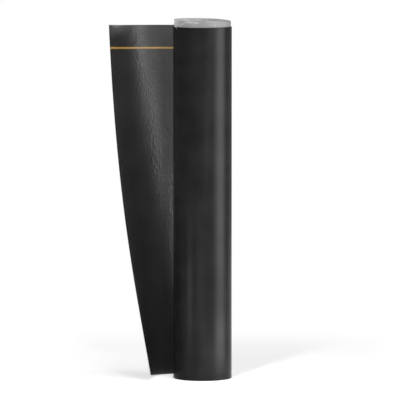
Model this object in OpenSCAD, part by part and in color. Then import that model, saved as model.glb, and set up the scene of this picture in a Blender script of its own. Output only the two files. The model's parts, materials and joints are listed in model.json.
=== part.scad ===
// Roll of roofing felt standing on its end, with a loose tail of the sheet
// curling away behind it and gathered packing film on the top end.
// Millimetres, +Z up. The origin is on the roll's axis, at the floor.

/* [Wound roll] */
// Width of the felt sheet, which is the height of the standing roll
felt_w = 1500; // [900:10:2000]
// Thickness of the felt sheet
felt_t = 0.9; // [0.6:0.1:2]
// Outer diameter of the wound roll
roll_d = 250; // [200:1:400]
// Diameter of the open bore that the sheet is wound around
bore_d = 76; // [50:1:110]

/* [Turns on the ends] */
// Number of ring grooves that show the turns on each end
turn_rings = 24; // [6:1:30]
// Width of a ring groove at its mouth
turn_groove_w = 1; // [0.6:0.1:1.4]
// Depth of a ring groove
turn_groove_depth = 1.2; // [0.4:0.1:2]

/* [Loose tail] */
// Length of sheet that has come off the roll, from the roll to its cut edge
tail_len = 468; // [250:1:600]
// Angle round from straight behind to where the tail leaves the roll, in degrees
tail_leave_deg = 15.7; // [5:0.1:45]
// Radius of the tail's tightest curl, at the floor
tail_curl_r = 131; // [110:1:220]
// Depth below the floor where the straight lines of the tail's curl would meet
tail_apex_drop = 1500; // [1100:10:4000]
// How far the tail's long edges lie in from the ends of the roll
tail_edge_inset = 0.5; // [0.3:0.1:2]
// How deep the tail's first line is sunk in the roll that it is part of
tail_root_sink = 0.5; // [0.3:0.1:0.8]

/* [Packing film] */
// Thickness of the felt turns that lie outside the film
film_cover = 4.7; // [4:0.1:8]
// Height that the film stands out of the top end
film_rise = 30; // [15:1:45]
// Depth that the film is tucked in between the turns
film_tuck = 10; // [5:1:30]
// Thickness of the gathered film
film_t = 1; // [0.6:0.1:1.5]
// Radius of the rounded edge of the film
film_crown_r = 9; // [4:0.5:12]
// Distance from the bore to the film's inner edge
film_mouth_gap = 8; // [4:0.5:15]
// Width of the film's inner edge that lies on the turns
film_foot_w = 6; // [3:0.5:10]
// Gap round the film where it is tucked in
film_fit_gap = 0.3; // [0.2:0.1:0.6]

/* [Hidden] */

felt_color = "#2b2b2d";
film_color = "#b4b6b8";

// Facets of the round forms
round_sides = 180;
// Flat strips in the tail up to its upper free corner, and as many past it
tail_strips = 24;
// How slowly the tail's curl sets in at the roll, and how slowly it runs out
curl_rise = 1.5;
curl_fall = 2;
// Straight pieces in the rounded edge of the film
crown_steps = 8;

roll_r = roll_d / 2;
bore_r = bore_d / 2;
turn_pitch = (roll_r - bore_r) / turn_rings;

film_r = roll_r - film_cover;
film_top = felt_w + film_rise;
film_low = felt_w - film_tuck;
film_mouth_r = bore_r + film_mouth_gap;
seat_out_r = film_r + film_fit_gap;
seat_in_r = film_r - film_t - film_fit_gap;
seat_low = film_low - film_fit_gap;

// The wound roll: one turned solid with a grooved profile at both ends

function turn_r(i) = bore_r + (i + 1 / 2) * turn_pitch;

// A ring groove is left out where the film is tucked in
function meets_film(r) =
    r + turn_groove_w / 2 > seat_in_r - turn_groove_w / 2 &&
    r - turn_groove_w / 2 < seat_out_r + turn_groove_w / 2;

// One V groove at radius r in the end at height z, cut in the direction of dir
function groove(r, z, dir) = [
    [r - turn_groove_w / 2, z],
    [r, z + dir * turn_groove_depth],
    [r + turn_groove_w / 2, z]
];

bottom_profile = [
    [bore_r, 0],
    for (i = [0 : turn_rings - 1]) each groove(turn_r(i), 0, 1),
    [roll_r, 0]
];

inner_turns = [for (i = [0 : turn_rings - 1])
    if (!meets_film(turn_r(i)) && turn_r(i) < film_r) turn_r(i)];
outer_turns = [for (i = [0 : turn_rings - 1])
    if (!meets_film(turn_r(i)) && turn_r(i) > film_r) turn_r(i)];

top_profile = [
    [bore_r, felt_w],
    for (r = inner_turns) each groove(r, felt_w, -1),
    [seat_in_r, felt_w],
    [seat_in_r, seat_low],
    [seat_out_r, seat_low],
    [seat_out_r, felt_w],
    for (r = outer_turns) each groove(r, felt_w, -1),
    [roll_r, felt_w]
];

function reversed(list) = [for (i = [len(list) - 1 : -1 : 0]) list[i]];

module wound_roll() {
    rotate_extrude($fn = round_sides)
        polygon(concat(bottom_profile, reversed(top_profile)));
}

// The loose tail: the sheet curls round straight lines that fan out from one
// point under the floor, so it is tight at the bottom and open at the top.
// A place on the flat sheet has an angle phi at that point. phi_top is the
// angle of the upper free corner and phi_end that of the lower one.

phi_top = atan(tail_len / (tail_apex_drop + felt_w - tail_edge_inset));
phi_end = atan(tail_len / (tail_apex_drop + tail_edge_inset));
last_line = 2 * tail_strips;

function line_phi(i) = i <= tail_strips
    ? phi_top * i / tail_strips
    : phi_top + (phi_end - phi_top) * (i - tail_strips) / tail_strips;

// The sheet leaves the roll straight, curls tightest on the way and runs out
// straight at the lower free corner. share is the part of the way to there.
function swell(share) = pow(share, curl_rise) * pow(1 - share, curl_fall);
curl_most = tail_apex_drop / tail_curl_r;
function curl_at(phi) =
    curl_most * swell(phi / phi_end) / swell(curl_rise / (curl_rise + curl_fall));

// Turns vector v about the unit vector axis by angle
function turned(v, axis, angle) =
    v * cos(angle) + cross(axis, v) * sin(angle) + axis * (axis * v) * (1 - cos(angle));

// Moves a frame of [line direction, direction along the sheet] on by step,
// bending it towards the side that the sheet faces
function curled(frame, curl, step) =
    let (
        facing = cross(frame[0], frame[1]),
        spin = facing + curl * frame[0],
        axis = spin / norm(spin),
        angle = step * norm(spin)
    )
    [for (v = frame) turned(v, axis, angle)];

leave_tangent = [-cos(tail_leave_deg), sin(tail_leave_deg), 0];
leave_r = roll_r - tail_root_sink;
apex = [
    leave_r * sin(tail_leave_deg),
    leave_r * cos(tail_leave_deg),
    -tail_apex_drop
];

tail_frames = [
    for (
        i = 0, frame = [[0, 0, 1], leave_tangent];
        i <= last_line;
        frame = curled(
            frame,
            curl_at((line_phi(i) + line_phi(i + 1)) / 2),
            line_phi(i + 1) - line_phi(i)
        ),
        i = i + 1
    ) frame
];

// Distances from the apex to the two ends of line i
function line_low(i) = (tail_apex_drop + tail_edge_inset) / cos(line_phi(i));
function line_high(i) = i <= tail_strips
    ? (tail_apex_drop + felt_w - tail_edge_inset) / cos(line_phi(i))
    : tail_len / sin(line_phi(i));

// The four corners of the sheet at line i: back low, back high, front low, front high
function line_corners(i) =
    let (
        along = tail_frames[i][0],
        through = felt_t * cross(along, tail_frames[i][1])
    )
    [
        apex + line_low(i) * along,
        apex + line_high(i) * along,
        apex + line_low(i) * along + through,
        apex + line_high(i) * along + through
    ];

tip = line_corners(last_line);
tail_points = concat(
    [for (i = [0 : last_line - 1]) each line_corners(i)],
    [tip[0], tip[2]]
);

// Places in tail_points of the corners of line i
lines = last_line;
tip_back = 4 * lines;
tip_front = tip_back + 1;
function back_low(i) = i < lines ? 4 * i : tip_back;
function back_high(i) = i < lines ? 4 * i + 1 : tip_back;
function front_low(i) = i < lines ? 4 * i + 2 : tip_front;
function front_high(i) = i < lines ? 4 * i + 3 : tip_front;

// A four-cornered face as two triangles, without one that has no area
function split(a, b, c, d) = [
    if (a != b && b != c) [a, b, c],
    if (c != d && d != a) [a, c, d]
];

tail_faces = [
    for (i = [0 : lines - 1]) each concat(
        split(back_low(i), back_high(i), back_high(i + 1), back_low(i + 1)),
        split(front_low(i), front_low(i + 1), front_high(i + 1), front_high(i)),
        split(back_low(i), back_low(i + 1), front_low(i + 1), front_low(i)),
        split(back_high(i), front_high(i), front_high(i + 1), back_high(i + 1))
    ),
    each split(back_low(0), front_low(0), front_high(0), back_high(0))
];

module loose_tail() {
    polyhedron(points = tail_points, faces = tail_faces);
}

module felt_roll() {
    color(felt_color) union() {
        wound_roll();
        loose_tail();
    }
}

// The packing film: a turned shell that is tucked in between the outer turns,
// stands out of the top end and slopes down to lie on the turns round the bore

crown_mid_r = film_r - film_crown_r;
crown_mid_z = film_top - film_crown_r;

// Points round the crown at radius r, from the outside to the top
function crown(r) = [for (i = [0 : crown_steps])
    let (a = 90 * i / crown_steps)
    [crown_mid_r + r * cos(a), crown_mid_z + r * sin(a)]];

film_profile = concat(
    [[film_r, film_low]],
    crown(film_crown_r),
    [
        [film_mouth_r + film_foot_w, felt_w + film_t],
        [film_mouth_r, felt_w + film_t],
        [film_mouth_r, felt_w],
        [film_mouth_r + film_foot_w, felt_w]
    ],
    reversed(crown(film_crown_r - film_t)),
    [[film_r - film_t, film_low]]
);

module packing_film() {
    color(film_color)
        rotate_extrude($fn = round_sides)
            polygon(film_profile);
}

felt_roll();
packing_film();
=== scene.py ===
"""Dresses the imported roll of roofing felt.

The wound sheet, its loose tail and the packing film on the top end stand in for the plain
solids, and a plain white studio shows them. Metres, +Z up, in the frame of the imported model.
"""

import json
import logging
import math
from dataclasses import dataclass
from enum import Enum
from typing import Any, List, Mapping, Optional, Sequence, Tuple, Union

import bpy
import numpy as np
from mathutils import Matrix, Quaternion, Vector

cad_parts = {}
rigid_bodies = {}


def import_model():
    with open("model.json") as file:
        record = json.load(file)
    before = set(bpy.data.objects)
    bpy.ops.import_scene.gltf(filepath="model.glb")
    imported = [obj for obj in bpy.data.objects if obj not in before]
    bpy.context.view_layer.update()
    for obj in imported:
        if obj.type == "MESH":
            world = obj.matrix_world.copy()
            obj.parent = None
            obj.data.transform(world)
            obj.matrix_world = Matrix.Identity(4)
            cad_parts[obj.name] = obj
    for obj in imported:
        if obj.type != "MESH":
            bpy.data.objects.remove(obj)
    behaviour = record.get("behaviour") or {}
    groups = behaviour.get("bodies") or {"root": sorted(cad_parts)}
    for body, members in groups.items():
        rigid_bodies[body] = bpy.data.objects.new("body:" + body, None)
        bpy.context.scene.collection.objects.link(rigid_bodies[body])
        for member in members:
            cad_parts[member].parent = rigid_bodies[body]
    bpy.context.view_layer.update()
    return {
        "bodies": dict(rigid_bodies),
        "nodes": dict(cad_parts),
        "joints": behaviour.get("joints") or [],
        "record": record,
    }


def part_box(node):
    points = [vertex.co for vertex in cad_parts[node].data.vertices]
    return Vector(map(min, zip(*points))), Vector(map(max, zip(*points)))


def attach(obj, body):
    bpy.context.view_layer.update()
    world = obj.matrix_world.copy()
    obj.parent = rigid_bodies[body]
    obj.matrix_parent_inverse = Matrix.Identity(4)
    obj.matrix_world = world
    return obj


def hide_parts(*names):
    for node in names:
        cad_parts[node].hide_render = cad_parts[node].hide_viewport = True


LOG = logging.getLogger("roofing_felt")

Colour = Tuple[float, float, float]
Key = Union[int, str]

BODY = "root"
MILLIMETRE = 0.001
FULL_TURN = 2.0 * math.pi

# Attributes that the felt's finish reads: the place on the flat sheet in metres along and
# across it, and which faces are cut edges
SHEET_PLACE = "sheet_place"
CUT_EDGE = "cut_edge"
# Attribute that the film's finish reads: how much light is painted on the film. It holds painted
# highlights on outward folds and gather ridges, and painted light on the left side and top
PAINTED_FILM_LIGHT = "painted_film_light"
# Attribute that the winding reads: the distance along the sheet from the bore
SHEET_RUN = "run"

# Places of a colour Mix node's sockets
MIX_FIRST_COLOUR = 6
MIX_SECOND_COLOUR = 7
MIX_COLOUR_RESULT = 2

# Middle of a noise's values, and the part of their range where most of them lie
NOISE_MIDDLE = 0.5
NOISE_SPAN = (0.3, 0.7)

# Angles between faces from which an edge is shaded sharp
FELT_SHARP_FROM = math.radians(40.0)
FILM_SHARP_FROM = math.radians(60.0)


class Slot(Enum):
    """Material slots of the record."""

    FELT = "felt"
    FILM = "film"


class Node(Enum):
    """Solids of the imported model."""

    ROLL = "felt_roll"
    FILM = "packing_film"


class Sock:
    """An output socket that takes part in Python expressions on values."""

    def __init__(self, nodes: "Nodes", socket: bpy.types.NodeSocket) -> None:
        """Keeps the socket and the tree that it is in."""
        self.nodes = nodes
        self.socket = socket

    def other(self, name: Key) -> "Sock":
        """Another output of the same node."""
        return Sock(self.nodes, self.socket.node.outputs[name])

    def _math(self, operation: str, *terms: Any) -> "Sock":
        """A Math node on the given terms."""
        settings = {"operation": operation}
        return self.nodes.make("ShaderNodeMath", settings, dict(enumerate(terms)))

    def __add__(self, term: Any) -> "Sock":
        """self + term."""
        return self._math("ADD", self, term)

    def __radd__(self, term: Any) -> "Sock":
        """term + self."""
        return self._math("ADD", term, self)

    def __sub__(self, term: Any) -> "Sock":
        """self - term."""
        return self._math("SUBTRACT", self, term)

    def __rsub__(self, term: Any) -> "Sock":
        """term - self."""
        return self._math("SUBTRACT", term, self)

    def __mul__(self, term: Any) -> "Sock":
        """self * term."""
        return self._math("MULTIPLY", self, term)

    def __rmul__(self, term: Any) -> "Sock":
        """term * self."""
        return self._math("MULTIPLY", term, self)

    def __truediv__(self, term: Any) -> "Sock":
        """self / term."""
        return self._math("DIVIDE", self, term)

    def __rtruediv__(self, term: Any) -> "Sock":
        """term / self."""
        return self._math("DIVIDE", term, self)

    def __abs__(self) -> "Sock":
        """The size of self without its sign."""
        return self._math("ABSOLUTE", self)

    def highest(self, term: Any) -> "Sock":
        """The higher of self and term."""
        return self._math("MAXIMUM", self, term)

    def above(self, term: Any) -> "Sock":
        """1 where self is above term, and 0 elsewhere."""
        return self._math("GREATER_THAN", self, term)

    def smooth(self, low: Any, high: Any) -> "Sock":
        """A smooth step from 0 where self is at low to 1 where it is at high."""
        return self.nodes.make(
            "ShaderNodeMapRange",
            {"interpolation_type": "SMOOTHSTEP"},
            {"Value": self, "From Min": low, "From Max": high},
        )


class Nodes:
    """Adds nodes to one tree."""

    def __init__(self, tree: bpy.types.NodeTree) -> None:
        """Keeps the tree."""
        self.tree = tree

    def make(
        self,
        kind: str,
        settings: Optional[Mapping[str, Any]] = None,
        sockets: Optional[Mapping[Key, Any]] = None,
        out: Key = 0,
    ) -> Sock:
        """Adds a node of any kind.

        Args:
            kind: the node's type.
            settings: the node's own properties, set before its sockets.
            sockets: values or links of its inputs, by name or place.
            out: the output to go on with, by name or place.

        Returns:
            That output, or the first input where the node has no output.
        """
        node = self.tree.nodes.new(kind)
        for name, value in (settings or {}).items():
            setattr(node, name, value)
        for key, value in (sockets or {}).items():
            self.join(value, node.inputs[key])
        if not node.outputs:
            return Sock(self, node.inputs[0])
        return Sock(self, node.outputs[out])

    def join(self, value: Any, socket: bpy.types.NodeSocket) -> None:
        """Sets an input to a value, or links it to another node's output.

        Args:
            value: a Sock to link, or a plain value.
            socket: the input that takes it.
        """
        if isinstance(value, Sock):
            self.tree.links.new(value.socket, socket)
        else:
            socket.default_value = value

    def mixed(self, factor: Any, first: Any, second: Any) -> Sock:
        """A colour between two others.

        Args:
            factor: how much of the second colour shows.
            first: the colour at factor 0.
            second: the colour at factor 1.

        Returns:
            The mixed colour.
        """
        colours = [c if isinstance(c, Sock) else (*c, 1.0) for c in (first, second)]
        return self.make(
            "ShaderNodeMix",
            {"data_type": "RGBA"},
            {"Factor": factor, MIX_FIRST_COLOUR: colours[0], MIX_SECOND_COLOUR: colours[1]},
            MIX_COLOUR_RESULT,
        )

    def noise(
        self, place: Sock, scale: float, detail: float = 2.0, roughness: float = 0.5
    ) -> Sock:
        """Noise from 0 to 1.

        Args:
            place: where the noise is read.
            scale: lumps to the metre.
            detail: octaves of finer lumps.
            roughness: how strong the finer lumps are.

        Returns:
            The noise's value.
        """
        sockets = {"Vector": place, "Scale": scale, "Detail": detail, "Roughness": roughness}
        return self.make("ShaderNodeTexNoise", None, sockets)

    def stretched(self, place: Sock, along: float, across: float) -> Sock:
        """A place on the sheet with its two directions scaled apart."""
        return self.make(
            "ShaderNodeVectorMath",
            {"operation": "MULTIPLY"},
            {0: place, 1: (along, across, 1.0)},
        )


def new_material(name: str) -> Tuple[bpy.types.Material, Nodes]:
    """An empty node material.

    Args:
        name: the material's name.

    Returns:
        The material and its nodes.
    """
    material = bpy.data.materials.new(name)
    material.use_nodes = True
    material.node_tree.nodes.clear()
    return material, Nodes(material.node_tree)


def new_piece(name: str, points: np.ndarray, faces: Sequence[Sequence[int]]) -> bpy.types.Object:
    """A mesh object at the origin.

    Args:
        name: the piece's name.
        points: its corners, in metres.
        faces: its faces, as corner numbers.

    Returns:
        The object, in the scene's collection.
    """
    mesh = bpy.data.meshes.new(name)
    mesh.from_pydata([tuple(p) for p in points], [], [tuple(f) for f in faces])
    mesh.update()
    piece = bpy.data.objects.new(name, mesh)
    bpy.context.scene.collection.objects.link(piece)
    return piece


def shade_smooth(piece: bpy.types.Object, sharp_from: float) -> None:
    """Shades a piece smooth, with sharp edges from an angle on.

    Args:
        piece: the mesh object.
        sharp_from: the angle between faces from which an edge is sharp, in radians.
    """
    piece.data.polygons.foreach_set("use_smooth", [True] * len(piece.data.polygons))
    piece.data.set_sharp_from_angle(angle=sharp_from)


def smooth_step(value: np.ndarray, low: float, high: float) -> np.ndarray:
    """A smooth step from 0 where value is at low to 1 where it is at high."""
    part = np.clip((value - low) / (high - low), 0.0, 1.0)
    return part * part * (3.0 - 2.0 * part)


@dataclass(frozen=True)
class FeltFinish:
    """One side of the black felt: its sheen, its grain and the print on it."""

    name: str
    dark: Colour
    pale: Colour
    specular: float
    refraction: float
    roughness_low: float
    roughness_high: float
    # Lumps of grain to the metre, along and across the sheet
    grain_along: float
    grain_across: float
    grain_height: float
    line_width: float = 0.0
    # Cut edges are darker than the faces: partly the felt's own dark cut edge, partly painted
    # shade for the dark line where the film meets the felt
    cut: Colour = (0.004, 0.004, 0.004)
    line: Colour = (0.3, 0.19, 0.052)
    line_rim: Colour = (0.042, 0.02, 0.003)
    cut_roughness: float = 0.85
    # Clouds in the tone: lumps to the metre, octaves of detail and share of the tone
    cloud_scale: float = 9.0
    cloud_detail: float = 3.0
    cloud_share: float = 0.8
    mottle_scale: float = 90.0
    mottle_height: float = 0.003 * MILLIMETRE
    # Fibres to the metre, end to end and side by side
    fibre_ends: float = 140.0
    fibre_sides: float = 900.0
    fibre_share: float = 0.2
    fibre_height: float = 0.0015 * MILLIMETRE
    # Where the line and its rim fade out, in line widths from the line's middle
    line_fade: Tuple[float, float] = (0.42, 0.58)
    rim_fade: Tuple[float, float] = (0.7, 1.1)
    line_waver: float = 0.2 * MILLIMETRE

    def material(self, line_across: float) -> bpy.types.Material:
        """Makes the finish.

        Args:
            line_across: where the lap line is, across the sheet.

        Returns:
            The material.
        """
        material, nodes = new_material(self.name)
        place = nodes.make("ShaderNodeAttribute", {"attribute_name": SHEET_PLACE}, None, "Vector")
        across = nodes.make("ShaderNodeSeparateXYZ", None, {0: place}, "Y")
        cut = nodes.make("ShaderNodeAttribute", {"attribute_name": CUT_EDGE}, None, "Fac")

        cloud = nodes.noise(place, self.cloud_scale, self.cloud_detail)
        mottle = nodes.noise(place, self.mottle_scale)
        fibre_along = nodes.noise(nodes.stretched(place, self.fibre_ends, self.fibre_sides), 1.0)
        fibre_across = nodes.noise(nodes.stretched(place, self.fibre_sides, self.fibre_ends), 1.0)
        fibres = (fibre_along + fibre_across) * 0.5
        grain = nodes.noise(nodes.stretched(place, self.grain_along, self.grain_across), 1.0)

        tone = (cloud * self.cloud_share + fibres * self.fibre_share).smooth(*NOISE_SPAN)
        felt = nodes.mixed(tone, self.dark, self.pale)
        if self.line_width:
            edge = abs(across - line_across) + (mottle - NOISE_MIDDLE) * self.line_waver
            for fade, shade in ((self.rim_fade, self.line_rim), (self.line_fade, self.line)):
                inside = 1.0 - edge.smooth(*(self.line_width * share for share in fade))
                felt = nodes.mixed(inside, felt, shade)
        # Cut edges take the darker cut colour, which is partly painted shade
        colour = nodes.mixed(cut, felt, self.cut)
        spread = self.roughness_high - self.roughness_low
        roughness = self.roughness_low + spread * grain.smooth(*NOISE_SPAN)
        roughness = roughness + (self.cut_roughness - roughness) * cut
        height = (
            grain * self.grain_height
            + fibres * self.fibre_height
            + mottle * self.mottle_height
        )
        bump = nodes.make("ShaderNodeBump", None, {"Distance": 1.0, "Height": height})
        shader = nodes.make(
            "ShaderNodeBsdfPrincipled",
            None,
            {
                "Base Color": colour,
                "Roughness": roughness,
                "Specular IOR Level": self.specular,
                "IOR": self.refraction,
                "Normal": bump,
            },
        )
        nodes.make("ShaderNodeOutputMaterial", None, {"Surface": shader})
        return material


OUTER_SIDE = FeltFinish(
    name="felt_outer_side",
    dark=(0.0096, 0.0096, 0.01),
    pale=(0.015, 0.015, 0.0155),
    specular=0.07,
    refraction=1.5,
    roughness_low=0.255,
    roughness_high=0.265,
    grain_along=100.0,
    grain_across=150.0,
    grain_height=0.05 * MILLIMETRE,
)
INNER_SIDE = FeltFinish(
    name="felt_inner_side",
    dark=(0.0155, 0.0155, 0.016),
    pale=(0.0225, 0.0225, 0.023),
    specular=1.0,
    refraction=1.7,
    roughness_low=0.276,
    roughness_high=0.284,
    grain_along=120.0,
    grain_across=60.0,
    grain_height=1.0 * MILLIMETRE,
    line_width=7.5 * MILLIMETRE,
)


@dataclass(frozen=True)
class FeltSides:
    """The materials of the felt's two sides."""

    outer: bpy.types.Material
    inner: bpy.types.Material


@dataclass(frozen=True)
class FilmFinish:
    """Pale grey packing film, with painted highlights along its outward folds and ridges, and
    painted light on its left side and top.
    """

    flat: Colour = (0.163, 0.165, 0.168)
    # Paler grey of the painted highlights and painted light on the film
    painted_light_grey: Colour = (0.325, 0.327, 0.33)
    specular: float = 0.2
    roughness_low: float = 0.5
    roughness_high: float = 0.62
    painted_light_share: float = 0.8
    # Clouds in the tone: lumps to the metre, octaves of detail and share of the tone
    cloud_scale: float = 45.0
    cloud_detail: float = 3.0
    cloud_share: float = 0.5
    # Wrinkles in the bump: lumps to the metre, octaves of detail and their strength
    wrinkle_scale: float = 120.0
    wrinkle_detail: float = 3.0
    wrinkle_roughness: float = 0.55
    wrinkle_height: float = 0.5 * MILLIMETRE

    def material(self, name: str) -> bpy.types.Material:
        """Makes the finish.

        Args:
            name: the material's name.

        Returns:
            The material.
        """
        material, nodes = new_material(name)
        place = nodes.make("ShaderNodeTexCoord", None, None, "Object")
        painted_film_light = nodes.make("ShaderNodeAttribute", {"attribute_name": PAINTED_FILM_LIGHT}, None, "Fac")
        cloud = nodes.noise(place, self.cloud_scale, self.cloud_detail)
        wrinkle = nodes.noise(
            place, self.wrinkle_scale, self.wrinkle_detail, self.wrinkle_roughness
        )
        clouded = (cloud - NOISE_MIDDLE) * self.cloud_share
        # Painted light: the film's grey is mixed toward the paler grey by the painted light
        # attribute, plus random clouds
        tone = (painted_film_light * self.painted_light_share + clouded).smooth(0.0, 1.0)
        spread = self.roughness_high - self.roughness_low
        bump = nodes.make(
            "ShaderNodeBump", None, {"Distance": 1.0, "Height": wrinkle * self.wrinkle_height}
        )
        shader = nodes.make(
            "ShaderNodeBsdfPrincipled",
            None,
            {
                "Base Color": nodes.mixed(tone, self.flat, self.painted_light_grey),
                "Roughness": self.roughness_low + spread * cloud,
                "Specular IOR Level": self.specular,
                "Normal": bump,
            },
        )
        nodes.make("ShaderNodeOutputMaterial", None, {"Surface": shader})
        return material


@dataclass
class WoundFelt:
    """The wound part of the sheet: one spiral of felt from the bore to where the tail leaves."""

    bore_radius: float
    roll_radius: float
    sheet_width: float
    film_radius: float
    leave_angle: float
    thickness: float = 0.78 * MILLIMETRE
    pitch: float = 0.9 * MILLIMETRE
    film_room: float = 1.3 * MILLIMETRE
    edge_scatter: float = 1.6 * MILLIMETRE
    # How the sheet's edges wander: swings to the metre, their detail, and their noise's span
    wander_scale: float = 0.8
    wander_detail: float = 3.0
    wander_roughness: float = 0.6
    wander_span: Tuple[float, float] = (0.3, 0.75)
    # How far apart the two edges and the seeds lie in the noise
    edges_apart: float = 17.0
    seeds_apart: float = 3.1
    # How steep a face's normal is from which the face counts as a cut edge
    edge_steepness: float = 0.6
    steps_per_turn: int = 128
    seed: int = 11

    @property
    def turns(self) -> float:
        """Number of turns on the roll."""
        felt = self.roll_radius - self.bore_radius - self.film_room - self.thickness
        return felt / self.pitch

    def _tree(self) -> bpy.types.NodeTree:
        """The Geometry Nodes tree that winds the sheet.

        Returns:
            The tree, with its sizes as named inputs.
        """
        tree = bpy.data.node_groups.new("wind_the_felt", "GeometryNodeTree")
        face = tree.interface
        for name in (
            "Turns", "Start Radius", "End Radius", "Sheet Width", "Thickness",
            "Film Radius", "Film Room", "Leave Angle", "Edge Scatter", "Pitch",
        ):
            face.new_socket(name, in_out="INPUT", socket_type="NodeSocketFloat")
        face.new_socket("Steps", in_out="INPUT", socket_type="NodeSocketInt")
        face.new_socket("Seed", in_out="INPUT", socket_type="NodeSocketInt")
        face.new_socket("Outer Side", in_out="INPUT", socket_type="NodeSocketMaterial")
        face.new_socket("Inner Side", in_out="INPUT", socket_type="NodeSocketMaterial")
        face.new_socket("Geometry", in_out="OUTPUT", socket_type="NodeSocketGeometry")
        nodes = Nodes(tree)
        given = nodes.make("NodeGroupInput")

        spiral = nodes.make(
            "GeometryNodeCurveSpiral",
            None,
            {
                "Resolution": given.other("Steps"),
                "Rotations": given.other("Turns"),
                "Start Radius": given.other("Start Radius"),
                "End Radius": given.other("End Radius"),
                "Height": 0.0,
            },
        )
        spin = nodes.make("ShaderNodeCombineXYZ", None, {"Z": given.other("Leave Angle")})
        turned = nodes.make("GeometryNodeTransform", None, {"Geometry": spiral, "Rotation": spin})

        # The turns outside the film stand off by its room
        place = nodes.make("GeometryNodeInputPosition")
        radius = nodes.make("ShaderNodeVectorMath", {"operation": "LENGTH"}, {0: place}, "Value")
        film_radius = given.other("Film Radius")
        apart = radius.smooth(film_radius, film_radius + given.other("Pitch") * 0.5)
        grow = 1.0 + apart * given.other("Film Room") / radius
        moved = nodes.make(
            "ShaderNodeVectorMath", {"operation": "SCALE"}, {0: place, "Scale": grow}
        )
        opened = nodes.make(
            "GeometryNodeSetPosition", None, {"Geometry": turned, "Position": moved}
        )
        run = nodes.make("GeometryNodeSplineParameter", None, None, "Length")
        measured = nodes.make(
            "GeometryNodeStoreNamedAttribute",
            {"data_type": "FLOAT", "domain": "POINT"},
            {"Geometry": opened, "Name": SHEET_RUN, "Value": run},
        )

        strip = nodes.make(
            "GeometryNodeCurvePrimitiveQuadrilateral",
            None,
            {"Width": given.other("Thickness"), "Height": given.other("Sheet Width")},
        )
        wound = nodes.make(
            "GeometryNodeCurveToMesh",
            None,
            {"Curve": measured, "Profile Curve": strip, "Fill Caps": True},
        )
        half = given.other("Sheet Width") * 0.5
        lift = nodes.make("ShaderNodeCombineXYZ", None, {"Z": half})
        stood = nodes.make("GeometryNodeTransform", None, {"Geometry": wound, "Translation": lift})

        # The sheet's edges wander inward along its run, so the turns end at different heights
        run_here = nodes.make(
            "GeometryNodeInputNamedAttribute", {"data_type": "FLOAT"}, {"Name": SHEET_RUN}
        )
        spot = nodes.make("GeometryNodeInputPosition")
        height = nodes.make("ShaderNodeSeparateXYZ", None, {0: spot}, "Z")
        upper = height.above(half)
        where = nodes.make(
            "ShaderNodeCombineXYZ",
            None,
            {
                "X": run_here * self.wander_scale,
                "Y": upper * self.edges_apart,
                "Z": given.other("Seed") * self.seeds_apart,
            },
        )
        drift = nodes.noise(where, 1.0, self.wander_detail, self.wander_roughness)
        wander = drift.smooth(*self.wander_span) * given.other("Edge Scatter")
        inward = wander * (1.0 - 2.0 * upper)
        shift = nodes.make("ShaderNodeCombineXYZ", None, {"Z": inward})
        ragged = nodes.make("GeometryNodeSetPosition", None, {"Geometry": stood, "Offset": shift})

        flat_place = nodes.make("ShaderNodeCombineXYZ", None, {"X": run_here, "Y": height})
        placed = nodes.make(
            "GeometryNodeStoreNamedAttribute",
            {"data_type": "FLOAT_VECTOR", "domain": "POINT"},
            {"Geometry": ragged, "Name": SHEET_PLACE, "Value": flat_place},
        )
        facing = nodes.make("GeometryNodeInputNormal")
        facing_up = nodes.make("ShaderNodeSeparateXYZ", None, {0: facing}, "Z")
        outward = nodes.make(
            "ShaderNodeVectorMath", {"operation": "DOT_PRODUCT"}, {0: facing, 1: spot}, "Value"
        )
        on_end = abs(facing_up).above(self.edge_steepness)
        edged = nodes.make(
            "GeometryNodeStoreNamedAttribute",
            {"data_type": "FLOAT", "domain": "FACE"},
            {"Geometry": placed, "Name": CUT_EDGE, "Value": on_end},
        )
        real = nodes.make("GeometryNodeRealizeInstances", None, {"Geometry": edged})
        outer = nodes.make(
            "GeometryNodeSetMaterial",
            None,
            {"Geometry": real, "Material": given.other("Outer Side")},
        )
        dressed = nodes.make(
            "GeometryNodeSetMaterial",
            None,
            {
                "Geometry": outer,
                "Selection": (outward * -1.0).above(0.0) * (1.0 - on_end),
                "Material": given.other("Inner Side"),
            },
        )
        nodes.make("NodeGroupOutput", None, {"Geometry": dressed})
        return tree

    def build(self, felt: FeltSides) -> bpy.types.Object:
        """Winds the sheet and dresses it.

        Args:
            felt: the felt's finishes.

        Returns:
            The wound piece.
        """
        tree = self._tree()
        piece = new_piece("wound_felt", np.zeros((0, 3)), [])
        modifier = piece.modifiers.new("winding", "NODES")
        modifier.node_group = tree
        end_radius = self.roll_radius - self.film_room - self.thickness / 2.0
        sizes = {
            "Turns": self.turns,
            "Start Radius": self.bore_radius + self.thickness / 2.0,
            "End Radius": end_radius,
            "Sheet Width": self.sheet_width,
            "Thickness": self.thickness,
            "Film Radius": self.film_radius,
            "Film Room": self.film_room,
            "Leave Angle": self.leave_angle - FULL_TURN * (self.turns % 1.0),
            "Edge Scatter": self.edge_scatter,
            "Pitch": self.pitch,
            "Steps": self.steps_per_turn,
            "Seed": self.seed,
            "Outer Side": felt.outer,
            "Inner Side": felt.inner,
        }
        for item in tree.interface.items_tree:
            if item.in_out == "INPUT":
                modifier[item.identifier] = sizes[item.name]
        graph = bpy.context.evaluated_depsgraph_get()
        mesh = bpy.data.meshes.new_from_object(piece.evaluated_get(graph))
        piece.modifiers.remove(modifier)
        piece.data = mesh
        shade_smooth(piece, FELT_SHARP_FROM)
        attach(piece, BODY)
        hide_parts(Node.ROLL.value)
        return piece


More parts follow.
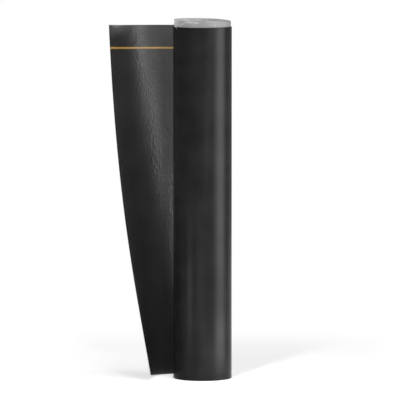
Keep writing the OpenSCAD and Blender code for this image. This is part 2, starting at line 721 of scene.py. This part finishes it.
@dataclass
class LooseTail:
    """The end of the sheet, curled round straight lines that fan out from under the floor."""

    roll_radius: float
    sheet_width: float
    leave_turn: float
    run_start: float
    length: float = 0.468
    curl_radius: float = 0.131
    curl_rise: float = 1.5
    curl_fall: float = 2.0
    apex_drop: float = 1.5
    root_sink: float = 0.5 * MILLIMETRE
    edge_inset: float = 0.5 * MILLIMETRE
    thickness: float = 0.9 * MILLIMETRE
    cells_along: int = 72
    cells_across: int = 160
    frame_steps: int = 2000

    def _swell(self, part: float) -> float:
        """How the curl sets in and runs out on the way from the roll to the free corner."""
        return part ** self.curl_rise * (1.0 - part) ** self.curl_fall

    def _frames(self) -> Tuple[np.ndarray, np.ndarray, np.ndarray]:
        """The curl's straight lines.

        Returns:
            The angles of the lines on the flat sheet, the directions of the lines, and the
            directions that the sheet's inner side faces there.
        """
        end = math.atan2(self.length, self.apex_drop + self.edge_inset)
        angles = np.linspace(0.0, end, self.frame_steps + 1)
        tightest = self.apex_drop / self.curl_radius
        fullest = self._swell(self.curl_rise / (self.curl_rise + self.curl_fall))
        line = np.array([0.0, 0.0, 1.0])
        forward = np.array([-math.cos(self.leave_turn), math.sin(self.leave_turn), 0.0])
        lines, facings = [line], [np.cross(line, forward)]
        for here, there in zip(angles[:-1], angles[1:]):
            curl = tightest * self._swell((here + there) / 2.0 / end) / fullest
            spin = (facings[-1] + curl * line) * (there - here)
            line = line + np.cross(spin, line)
            forward = forward + np.cross(spin, forward)
            line = line / np.linalg.norm(line)
            forward = forward - line * np.dot(line, forward)
            forward = forward / np.linalg.norm(forward)
            lines.append(line)
            facings.append(np.cross(line, forward))
        return angles, np.array(lines), np.array(facings)

    def _on_curl(self, along: np.ndarray, across: np.ndarray) -> Tuple[np.ndarray, np.ndarray]:
        """Places of the flat sheet on the curl.

        Args:
            along: distances from where the tail leaves the roll.
            across: heights on the flat sheet.

        Returns:
            The points of the outer side, and the directions to the inner side.
        """
        angles, lines, facings = self._frames()
        apex = np.array([
            (self.roll_radius - self.root_sink) * math.sin(self.leave_turn),
            (self.roll_radius - self.root_sink) * math.cos(self.leave_turn),
            -self.apex_drop,
        ])
        reach = np.hypot(along, across + self.apex_drop)
        angle = np.arctan2(along, across + self.apex_drop)
        line = np.stack([np.interp(angle, angles, lines[:, k]) for k in range(3)], axis=-1)
        facing = np.stack([np.interp(angle, angles, facings[:, k]) for k in range(3)], axis=-1)
        line /= np.linalg.norm(line, axis=-1, keepdims=True)
        facing /= np.linalg.norm(facing, axis=-1, keepdims=True)
        return apex + reach[..., None] * line, facing

    def build(self, felt: FeltSides) -> bpy.types.Object:
        """Makes the tail as a closed thin sheet and dresses it.

        Args:
            felt: the felt's finishes.

        Returns:
            The tail.
        """
        along_marks = np.linspace(0.0, self.length, self.cells_along + 1)
        across_marks = np.linspace(
            self.edge_inset, self.sheet_width - self.edge_inset, self.cells_across + 1
        )
        along, across = np.meshgrid(along_marks, across_marks, indexing="ij")
        outer, facing = self._on_curl(along, across)
        inner = outer + facing * self.thickness
        points = np.concatenate([outer.reshape(-1, 3), inner.reshape(-1, 3)])

        rows, columns = self.cells_along + 1, self.cells_across + 1
        number = np.arange(rows * columns).reshape(rows, columns)
        behind = rows * columns
        a, b = number[:-1, :-1].ravel(), number[1:, :-1].ravel()
        c, d = number[1:, 1:].ravel(), number[:-1, 1:].ravel()
        outer_faces = np.stack([a, d, c, b], axis=1)
        inner_faces = np.stack([a, b, c, d], axis=1) + behind
        rim = np.concatenate([
            number[:, 0], number[-1, 1:], number[-2::-1, -1], number[0, -2::-1],
        ])
        start, stop = rim[:-1], rim[1:]
        rim_faces = np.stack([start, stop, stop + behind, start + behind], axis=1)
        faces = np.concatenate([outer_faces, inner_faces, rim_faces])

        piece = new_piece("loose_tail", points, faces.tolist())
        mesh = piece.data
        place = np.zeros((len(points), 3))
        place[:, 0] = self.run_start + np.tile(along.ravel(), 2)
        place[:, 1] = np.tile(across.ravel(), 2)
        stored = mesh.attributes.new(SHEET_PLACE, "FLOAT_VECTOR", "POINT")
        stored.data.foreach_set("vector", place.ravel())
        counts = (len(outer_faces), len(inner_faces), len(rim_faces))
        stored = mesh.attributes.new(CUT_EDGE, "FLOAT", "FACE")
        stored.data.foreach_set("value", np.repeat((0.0, 0.0, 1.0), counts))
        mesh.materials.append(felt.outer)
        mesh.materials.append(felt.inner)
        mesh.polygons.foreach_set("material_index", np.repeat((0, 1, 0), counts))
        shade_smooth(piece, FELT_SHARP_FROM)
        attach(piece, BODY)
        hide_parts(Node.ROLL.value)
        flat = (self.sheet_width - 2.0 * self.edge_inset, self.length)
        return piece


@dataclass(frozen=True)
class Crease:
    """One fold line of the film's wall.

    Its height is a share of the film's rise, and its slope is rise over run.
    """

    angle: float
    height: float
    slope: float
    half_length: float
    half_width: float
    depth: float
    full_share: float = 0.3

    def shape(self, x: np.ndarray, z: np.ndarray) -> np.ndarray:
        """How much of the fold's depth there is at places on the wall.

        Args:
            x: distances round the wall from the fold's middle.
            z: distances above the fold's middle.

        Returns:
            Shares of the depth, from 0 to 1.
        """
        steep = math.hypot(1.0, self.slope)
        along = (x + z * self.slope) / steep
        across = (z - x * self.slope) / steep
        ridge = 1.0 / (1.0 + (across / self.half_width) ** 2)
        full = self.half_length * self.full_share
        return ridge * (1.0 - smooth_step(np.abs(along), full, self.half_length))


# Creases that show in front
FRONT_CREASES = (
    Crease(math.radians(-112.0), 0.74, -0.07, 0.045, 0.0022, 1.4 * MILLIMETRE),
    Crease(math.radians(-70.0), 0.80, 0.02, 0.040, 0.0030, 0.4 * MILLIMETRE),
    Crease(math.radians(-166.0), 0.5, 8.0, 0.020, 0.0030, 1.2 * MILLIMETRE),
)


@dataclass(frozen=True)
class CreaseRanges:
    """Ranges that the creases all round the film are drawn from."""

    number: int = 46
    height: Tuple[float, float] = (0.15, 0.9)
    slope_spread: float = 0.5
    half_length: Tuple[float, float] = (0.01, 0.04)
    half_width: Tuple[float, float] = (0.0015, 0.004)
    depth_in_millimetres: Tuple[float, float] = (-0.4, 0.5)

    def drawn(self, seed: int) -> List[Crease]:
        """Draws the creases.

        Args:
            seed: the seed of the draws.

        Returns:
            The creases, in the order of the draws.
        """
        draw = np.random.default_rng(seed)
        return [
            Crease(
                angle=draw.uniform(0.0, FULL_TURN),
                height=draw.uniform(*self.height),
                slope=draw.normal(0.0, self.slope_spread),
                half_length=draw.uniform(*self.half_length),
                half_width=draw.uniform(*self.half_width),
                depth=draw.uniform(*self.depth_in_millimetres) * MILLIMETRE,
            )
            for _ in range(self.number)
        ]


@dataclass
class PackingFilm:
    """Film that is tucked in between the outer turns and gathered over the top end.

    Spans that say where something sets in on the gathers run from 0 at the wall to 1 at the mouth.
    """

    radius: float
    low: float
    top: float
    end_height: float
    mouth_radius: float
    foot_width: float = 7.0 * MILLIMETRE
    foot_lift_in_thicknesses: float = 3.0
    crown_radius: float = 1.5 * MILLIMETRE
    slope_power: float = 1.2
    thickness: float = 0.3 * MILLIMETRE
    wall_rows: int = 22
    crown_rows: int = 9
    slope_rows: int = 30
    lip_rows: int = 5
    steps_round: int = 360
    # The wall is held at the felt's end, is free from a share of its rise, and ends at the crown
    held_rise: float = 1.0 * MILLIMETRE
    free_from: float = 0.25
    crown_fade: float = 1.4
    # The rim's sag on one side and its wave all round, with the angles that they are turned by
    sag: float = 0.0075
    sag_turn: float = 0.15
    wave: float = 0.0012
    wave_turn: float = 1.0
    pleats: Tuple[int, ...] = (7, 13, 19, 27)
    pleat_height: float = 4.0 * MILLIMETRE
    pleat_rise: Tuple[float, float] = (0.02, 0.45)
    pleat_fall: Tuple[float, float] = (0.75, 1.0)
    pleat_loss: float = 0.75
    swirl: float = 0.35
    ridge_sharpness: float = 2.2
    ridge_power: float = 1.5
    # How strong the painted light is: painted highlights on the gather ridges, painted light on
    # the film's left side, and painted light on its top
    ridge_painted_highlight: float = 0.8
    ridge_highlight_power: int = 3
    left_side_painted_light: float = 0.4
    left_side_light_span: Tuple[float, float] = (-0.6, 0.9)
    top_painted_light: float = 0.3
    top_light_span: Tuple[float, float] = (0.0, 0.08)
    seeded: CreaseRanges = CreaseRanges()
    seed: int = 5

    def _profile(self) -> Tuple[np.ndarray, np.ndarray]:
        """The film's section from its tucked edge to its mouth.

        Returns:
            Radii and heights of the section's points.
        """
        crown_low = self.top - self.crown_radius
        wall = np.linspace(self.low, crown_low, self.wall_rows, endpoint=False)
        bend = np.linspace(0.0, math.pi / 2.0, self.crown_rows)
        crown_r = self.radius - self.crown_radius + self.crown_radius * np.cos(bend)
        crown_z = crown_low + self.crown_radius * np.sin(bend)
        foot = self.mouth_radius + self.foot_width
        foot_z = self.end_height + self.thickness * self.foot_lift_in_thicknesses
        part = np.linspace(0.0, 1.0, self.slope_rows)[1:]
        slope_r = crown_r[-1] + (foot - crown_r[-1]) * part
        slope_z = self.top + (foot_z - self.top) * part ** self.slope_power
        lip = np.linspace(foot, self.mouth_radius, self.lip_rows)[1:]
        radii = np.concatenate([np.full(len(wall), self.radius), crown_r, slope_r, lip])
        heights = np.concatenate([wall, crown_z, slope_z, np.full(len(lip), slope_z[-1])])
        return radii, heights

    def _wall_folds(self, turn: np.ndarray, height: np.ndarray) -> Tuple[np.ndarray, np.ndarray]:
        """The creases of the wall: a few that show in front, and seeded ones all round.

        Args:
            turn: angles of the film's points.
            height: their heights.

        Returns:
            How far the creases push the points out, and the painted highlight along the outward
            ones.
        """
        rise = self.top - self.end_height
        push, painted_film_light = np.zeros_like(turn), np.zeros_like(turn)
        for fold in (*FRONT_CREASES, *self.seeded.drawn(self.seed)):
            gap = (turn - fold.angle + math.pi) % FULL_TURN - math.pi
            shape = fold.shape(gap * self.radius, height - self.end_height - fold.height * rise)
            push += shape * fold.depth
            # Painted highlight: outward folds are painted paler in proportion to their depth
            painted_film_light += shape * max(fold.depth, 0.0) / MILLIMETRE
        return push, painted_film_light

    def _ridges(self, turn: np.ndarray, inward: np.ndarray) -> np.ndarray:
        """The ridges of the gathers.

        Args:
            turn: angles of the film's points.
            inward: how far in they lie, from 0 at the wall to 1 at the mouth.

        Returns:
            How high the points lie on a ridge, from 0 to 1.
        """
        draw = np.random.default_rng(self.seed + 1)
        twisted = turn + self.swirl * inward
        gather = np.zeros_like(turn)
        for count in self.pleats:
            gather += np.sin(count * twisted + draw.uniform(0.0, FULL_TURN)) / len(self.pleats)
        return (1.0 - np.abs(gather) * self.ridge_sharpness).clip(0.0, 1.0) ** self.ridge_power

    def build(self, film: bpy.types.Material) -> bpy.types.Object:
        """Gathers the film and dresses it.

        Args:
            film: the film's finish.

        Returns:
            The film.
        """
        radii, heights = self._profile()
        angle = np.arange(self.steps_round) / self.steps_round * FULL_TURN
        turn, radius = np.meshgrid(angle, radii, indexing="ij")
        _, height = np.meshgrid(angle, heights, indexing="ij")
        rise = self.top - self.end_height
        held, free_z = self.end_height + self.held_rise, self.end_height + self.free_from * rise
        crown_start = self.radius - self.crown_radius * self.crown_fade
        on_wall = smooth_step(height, held, free_z) * smooth_step(radius, crown_start, self.radius)
        push, painted_film_light = self._wall_folds(turn, height)

        inward = 1.0 - (radius - self.mouth_radius) / (self.radius - self.mouth_radius)
        ridge = self._ridges(turn, inward)
        folded = smooth_step(inward, *self.pleat_rise)
        folded = folded * (1.0 - self.pleat_loss * smooth_step(inward, *self.pleat_fall))
        sag = -self.sag * np.maximum(np.cos(turn + self.sag_turn), 0.0) ** 2
        sag = sag + self.wave * np.cos(2.0 * turn + self.wave_turn)
        lifted = (height - self.end_height) / rise
        height = height + np.where(height > self.end_height, lifted * sag, 0.0)
        height = height + ridge * folded * self.pleat_height
        # Painted highlights on the outward wall folds and on the tops of the gather ridges
        painted_film_light = painted_film_light * on_wall + ridge ** self.ridge_highlight_power * folded * self.ridge_painted_highlight
        # Painted light: the film's left side is painted paler to even it with the brighter lit
        # right side
        painted_film_light = painted_film_light + self.left_side_painted_light * smooth_step(-np.cos(turn), *self.left_side_light_span)
        # Painted light: the film's top, from just inside the crown to the mouth, is painted paler
        painted_film_light = painted_film_light + self.top_painted_light * smooth_step(inward, *self.top_light_span)
        radius = radius + push * on_wall

        points = np.stack([radius * np.cos(turn), radius * np.sin(turn), height], axis=-1)
        rows, columns = points.shape[:2]
        number = np.arange(rows * columns).reshape(rows, columns)
        after = np.roll(number, -1, axis=0)
        corners = (number[:, :-1], after[:, :-1], after[:, 1:], number[:, 1:])
        faces = np.stack([corner.ravel() for corner in corners], axis=1)
        piece = new_piece("gathered_film", points.reshape(-1, 3), faces.tolist())
        stored = piece.data.attributes.new(PAINTED_FILM_LIGHT, "FLOAT", "POINT")
        stored.data.foreach_set("value", painted_film_light.ravel())
        piece.data.materials.append(film)
        shade_smooth(piece, FILM_SHARP_FROM)
        wall = piece.modifiers.new("film_thickness", "SOLIDIFY")
        wall.thickness = self.thickness
        wall.offset = -1.0
        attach(piece, BODY)
        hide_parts(Node.FILM.value)
        length = float(np.hypot(np.diff(radii), np.diff(heights)).sum())
        flat = (FULL_TURN * self.radius, length)
        return piece


@dataclass(frozen=True)
class Softbox:
    """One soft lamp: where it stands round the object, its size, its power and its tilt.

    Azimuths go from the front to the right, and angles are in degrees.
    """

    name: str
    azimuth: float
    height: float
    wide: float
    tall: float
    power: float
    aims_at: float
    tilt: float = 0.0
    distance: float = 2.5
    spread: float = 180.0


@dataclass
class Studio:
    """White floor and background, soft lamps and the camera."""

    aim: Tuple[float, float, float] = (-0.0105, 0.0, 0.761)
    distance: float = 19.7
    pitch: float = math.radians(4.9)
    view_angle: float = math.radians(4.948)
    far_end: float = 200.0
    floor_half: float = 6.0
    # Distances over which the floor turns plain white: from the object, and to either side
    floor_fade: Tuple[float, float] = (0.3, 1.9)
    side_fade: Tuple[float, float] = (0.35, 0.75)
    fade_centre: float = 0.12
    floor_white: Colour = (0.86, 0.86, 0.86)
    # Light that the floor adds where it is seen, and how much of it shows in reflections
    floor_glow: float = 0.32
    floor_sheen: float = 0.8
    # Light from all round, and the part of the background that shows in reflections
    ambient: float = 0.15
    backdrop: Tuple[float, float] = (0.15, 0.5)
    backdrop_sheen: float = 0.3
    lamps: Tuple[Softbox, ...] = (
        Softbox("key_left", -17.0, 2.9, 0.3, 0.5, 62.0, 0.9),
        Softbox("key_right", 15.0, 2.9, 0.3, 0.5, 24.0, 0.9),
        Softbox("overhead", 0.0, 3.3, 0.8, 0.8, 27.0, 0.0, distance=0.3),
        Softbox("right_strip", 72.5, 0.95, 2.4, 1.9, 20.0, 1.15, spread=60.0),
        Softbox("right_low", 71.0, 0.1, 0.62, 0.2, 0.7, 0.11, distance=0.7, spread=70.0),
        Softbox("front_floor", 24.0, 0.09, 0.9, 0.16, 1.15, 0.09, distance=0.8),
        Softbox("right_high", 78.0, 2.0, 1.1, 0.7, 10.0, 1.2),
        Softbox("front_high", 38.0, 1.5, 0.8, 0.7, 2.8, 1.0),
        Softbox("front_slant", 20.5, 1.02, 1.5, 0.4, 4.3, 1.0, 40.0),
        Softbox("front_low", -10.0, 0.2, 1.2, 0.4, 4.5, 0.4),
        Softbox("left_low", -50.0, 0.12, 0.9, 0.25, 6.0, 0.4),
        Softbox("back_strip", 179.0, 0.9, 0.6, 1.7, 4.5, 0.85, distance=5.0, spread=20.0),
        Softbox("back_left_strip", -128.0, 0.9, 0.8, 1.7, 6.5, 0.85, distance=5.0, spread=20.0),
    )

    def build_camera(self) -> bpy.types.Object:
        """Sets the camera at the viewing angle of the photograph.

        Returns:
            The camera.
        """
        data = bpy.data.cameras.new("camera")
        data.sensor_fit = "AUTO"
        data.angle = self.view_angle
        data.clip_end = self.far_end
        camera = bpy.data.objects.new("camera", data)
        back = Vector((0.0, -math.cos(self.pitch), math.sin(self.pitch)))
        camera.location = Vector(self.aim) + back * self.distance
        camera.rotation_euler = (math.pi / 2.0 - self.pitch, 0.0, 0.0)
        bpy.context.scene.collection.objects.link(camera)
        bpy.context.scene.camera = camera
        return camera

    def build_floor(self) -> bpy.types.Object:
        """Lays the white floor, which keeps the object's shadow.

        Returns:
            The floor.
        """
        square = np.array([(-1.0, -1.0, 0.0), (1.0, -1.0, 0.0), (1.0, 1.0, 0.0), (-1.0, 1.0, 0.0)])
        floor = new_piece("floor", square * self.floor_half, [(0, 1, 2, 3)])
        material, nodes = new_material("white_floor")
        place = nodes.make("ShaderNodeTexCoord", None, None, "Object")
        away = nodes.make("ShaderNodeVectorMath", {"operation": "LENGTH"}, {0: place}, "Value")
        aside = nodes.make("ShaderNodeSeparateXYZ", None, {0: place}, "X")
        to_side = abs(aside - self.fade_centre).smooth(*self.side_fade)
        far = away.smooth(*self.floor_fade).highest(to_side)
        ray = nodes.make("ShaderNodeLightPath", None, None, "Is Camera Ray")
        mirrored = ray.other("Is Glossy Ray") * self.floor_sheen
        seen = ray.highest(ray.other("Is Transmission Ray")).highest(mirrored)
        lit = nodes.make("ShaderNodeBsdfDiffuse", None, {"Color": (*self.floor_white, 1.0)})
        glow = nodes.make("ShaderNodeEmission", None, {"Strength": self.floor_glow * seen})
        near = nodes.make("ShaderNodeAddShader", None, {0: lit, 1: glow})
        white = nodes.make("ShaderNodeEmission", None, {"Strength": 1.0})
        blended = nodes.make("ShaderNodeMixShader", None, {0: far * seen, 1: near, 2: white})
        nodes.make("ShaderNodeOutputMaterial", None, {"Surface": blended})
        floor.data.materials.append(material)
        return floor

    def build_world(self) -> None:
        """Sets the white background and the even light from all round."""
        world = bpy.data.worlds.new("studio")
        world.use_nodes = True
        world.node_tree.nodes.clear()
        nodes = Nodes(world.node_tree)
        ray = nodes.make("ShaderNodeLightPath", None, None, "Is Camera Ray")
        seen = ray.highest(ray.other("Is Transmission Ray"))
        glossy = ray.other("Is Glossy Ray")
        way = nodes.make("ShaderNodeTexCoord", None, None, "Generated")
        behind = nodes.make("ShaderNodeSeparateXYZ", None, {0: way}, "Y").smooth(*self.backdrop)
        mirrored = behind * self.backdrop_sheen
        strength = self.ambient + (mirrored - self.ambient) * glossy
        strength = strength + (1.0 - strength) * seen
        white = (1.0, 1.0, 1.0, 1.0)
        sky = nodes.make("ShaderNodeBackground", None, {"Color": white, "Strength": strength})
        nodes.make("ShaderNodeOutputWorld", None, {"Surface": sky})
        bpy.context.scene.world = world

    def build_lamp(self, box: Softbox) -> bpy.types.Object:
        """Sets one soft lamp.

        Args:
            box: the lamp's place, size and power.

        Returns:
            The lamp, facing the roll's axis at the height that it is aimed at.
        """
        data = bpy.data.lights.new(box.name, "AREA")
        data.shape = "RECTANGLE"
        data.size = box.wide
        data.size_y = box.tall
        data.energy = box.power
        data.spread = math.radians(box.spread)
        lamp = bpy.data.objects.new(box.name, data)
        turn = math.radians(box.azimuth)
        lamp.location = (
            box.distance * math.sin(turn), -box.distance * math.cos(turn), box.height,
        )
        away = Vector(lamp.location) - Vector((0.0, 0.0, box.aims_at))
        tilt = Quaternion((0.0, 0.0, 1.0), math.radians(box.tilt))
        lamp.rotation_euler = (away.to_track_quat("Z", "Y") @ tilt).to_euler()
        lamp.visible_camera = False
        bpy.context.scene.collection.objects.link(lamp)
        return lamp

    def build(self) -> None:
        """Sets the whole studio."""
        bpy.context.scene.view_settings.view_transform = "Standard"
        self.build_camera()
        self.build_floor()
        self.build_world()
        for box in self.lamps:
            self.build_lamp(box)


@dataclass(frozen=True)
class RollSizes:
    """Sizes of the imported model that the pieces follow."""

    bore_radius: float
    roll_radius: float
    sheet_width: float
    film_radius: float
    film_low: float
    film_top: float

    @classmethod
    def from_frame(cls, frame: Mapping[str, Any]) -> "RollSizes":
        """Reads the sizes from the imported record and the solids' boxes.

        Args:
            frame: the loaded frame.

        Returns:
            The sizes, in metres.
        """
        bore = next(m for m in frame["record"]["mounts"] if m["name"] == "core_bore")
        _, roll_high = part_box(Node.ROLL.value)
        film_low, film_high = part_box(Node.FILM.value)
        return cls(
            bore_radius=bore["dims"]["r_mm"] * MILLIMETRE,
            roll_radius=roll_high.x,
            sheet_width=bore["dims"]["length_mm"] * MILLIMETRE,
            film_radius=film_high.x,
            film_low=film_low.z,
            film_top=film_high.z,
        )


@dataclass(frozen=True)
class Layout:
    """Choices that more than one piece follows."""

    leave_turn: float = math.radians(15.7)
    lap_from_edge: float = 0.0988
    film_mouth_gap: float = 9.0 * MILLIMETRE
    film_standoff: float = 2.0 * MILLIMETRE


def build_pieces(frame: Mapping[str, Any]) -> List[bpy.types.Object]:
    """Builds the object's pieces in order.

    Args:
        frame: the loaded frame.

    Returns:
        The pieces.
    """
    sizes, layout = RollSizes.from_frame(frame), Layout()
    line_across = sizes.sheet_width - layout.lap_from_edge
    felt = FeltSides(OUTER_SIDE.material(line_across), INNER_SIDE.material(line_across))
    film = FilmFinish().material("grey_film")
    wound = WoundFelt(
        bore_radius=sizes.bore_radius,
        roll_radius=sizes.roll_radius,
        sheet_width=sizes.sheet_width,
        film_radius=sizes.film_radius - layout.film_standoff,
        leave_angle=math.pi / 2.0 - layout.leave_turn,
    )
    mean_radius = (sizes.bore_radius + sizes.roll_radius) / 2.0
    tail = LooseTail(
        roll_radius=sizes.roll_radius,
        sheet_width=sizes.sheet_width,
        leave_turn=layout.leave_turn,
        run_start=wound.turns * FULL_TURN * mean_radius,
    )
    cover = PackingFilm(
        radius=sizes.film_radius,
        low=sizes.film_low,
        top=sizes.film_top,
        end_height=sizes.sheet_width,
        mouth_radius=sizes.bore_radius + layout.film_mouth_gap,
    )
    return [wound.build(felt), tail.build(felt), cover.build(film)]


def main() -> None:
    """Builds the pieces and the studio."""
    logging.basicConfig(level=logging.INFO, format="%(message)s")
    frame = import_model()
    for piece in build_pieces(frame):
        LOG.info("%s: %d faces", piece.name, len(piece.data.polygons))
    Studio().build()


if __name__ == "__main__":
    main()
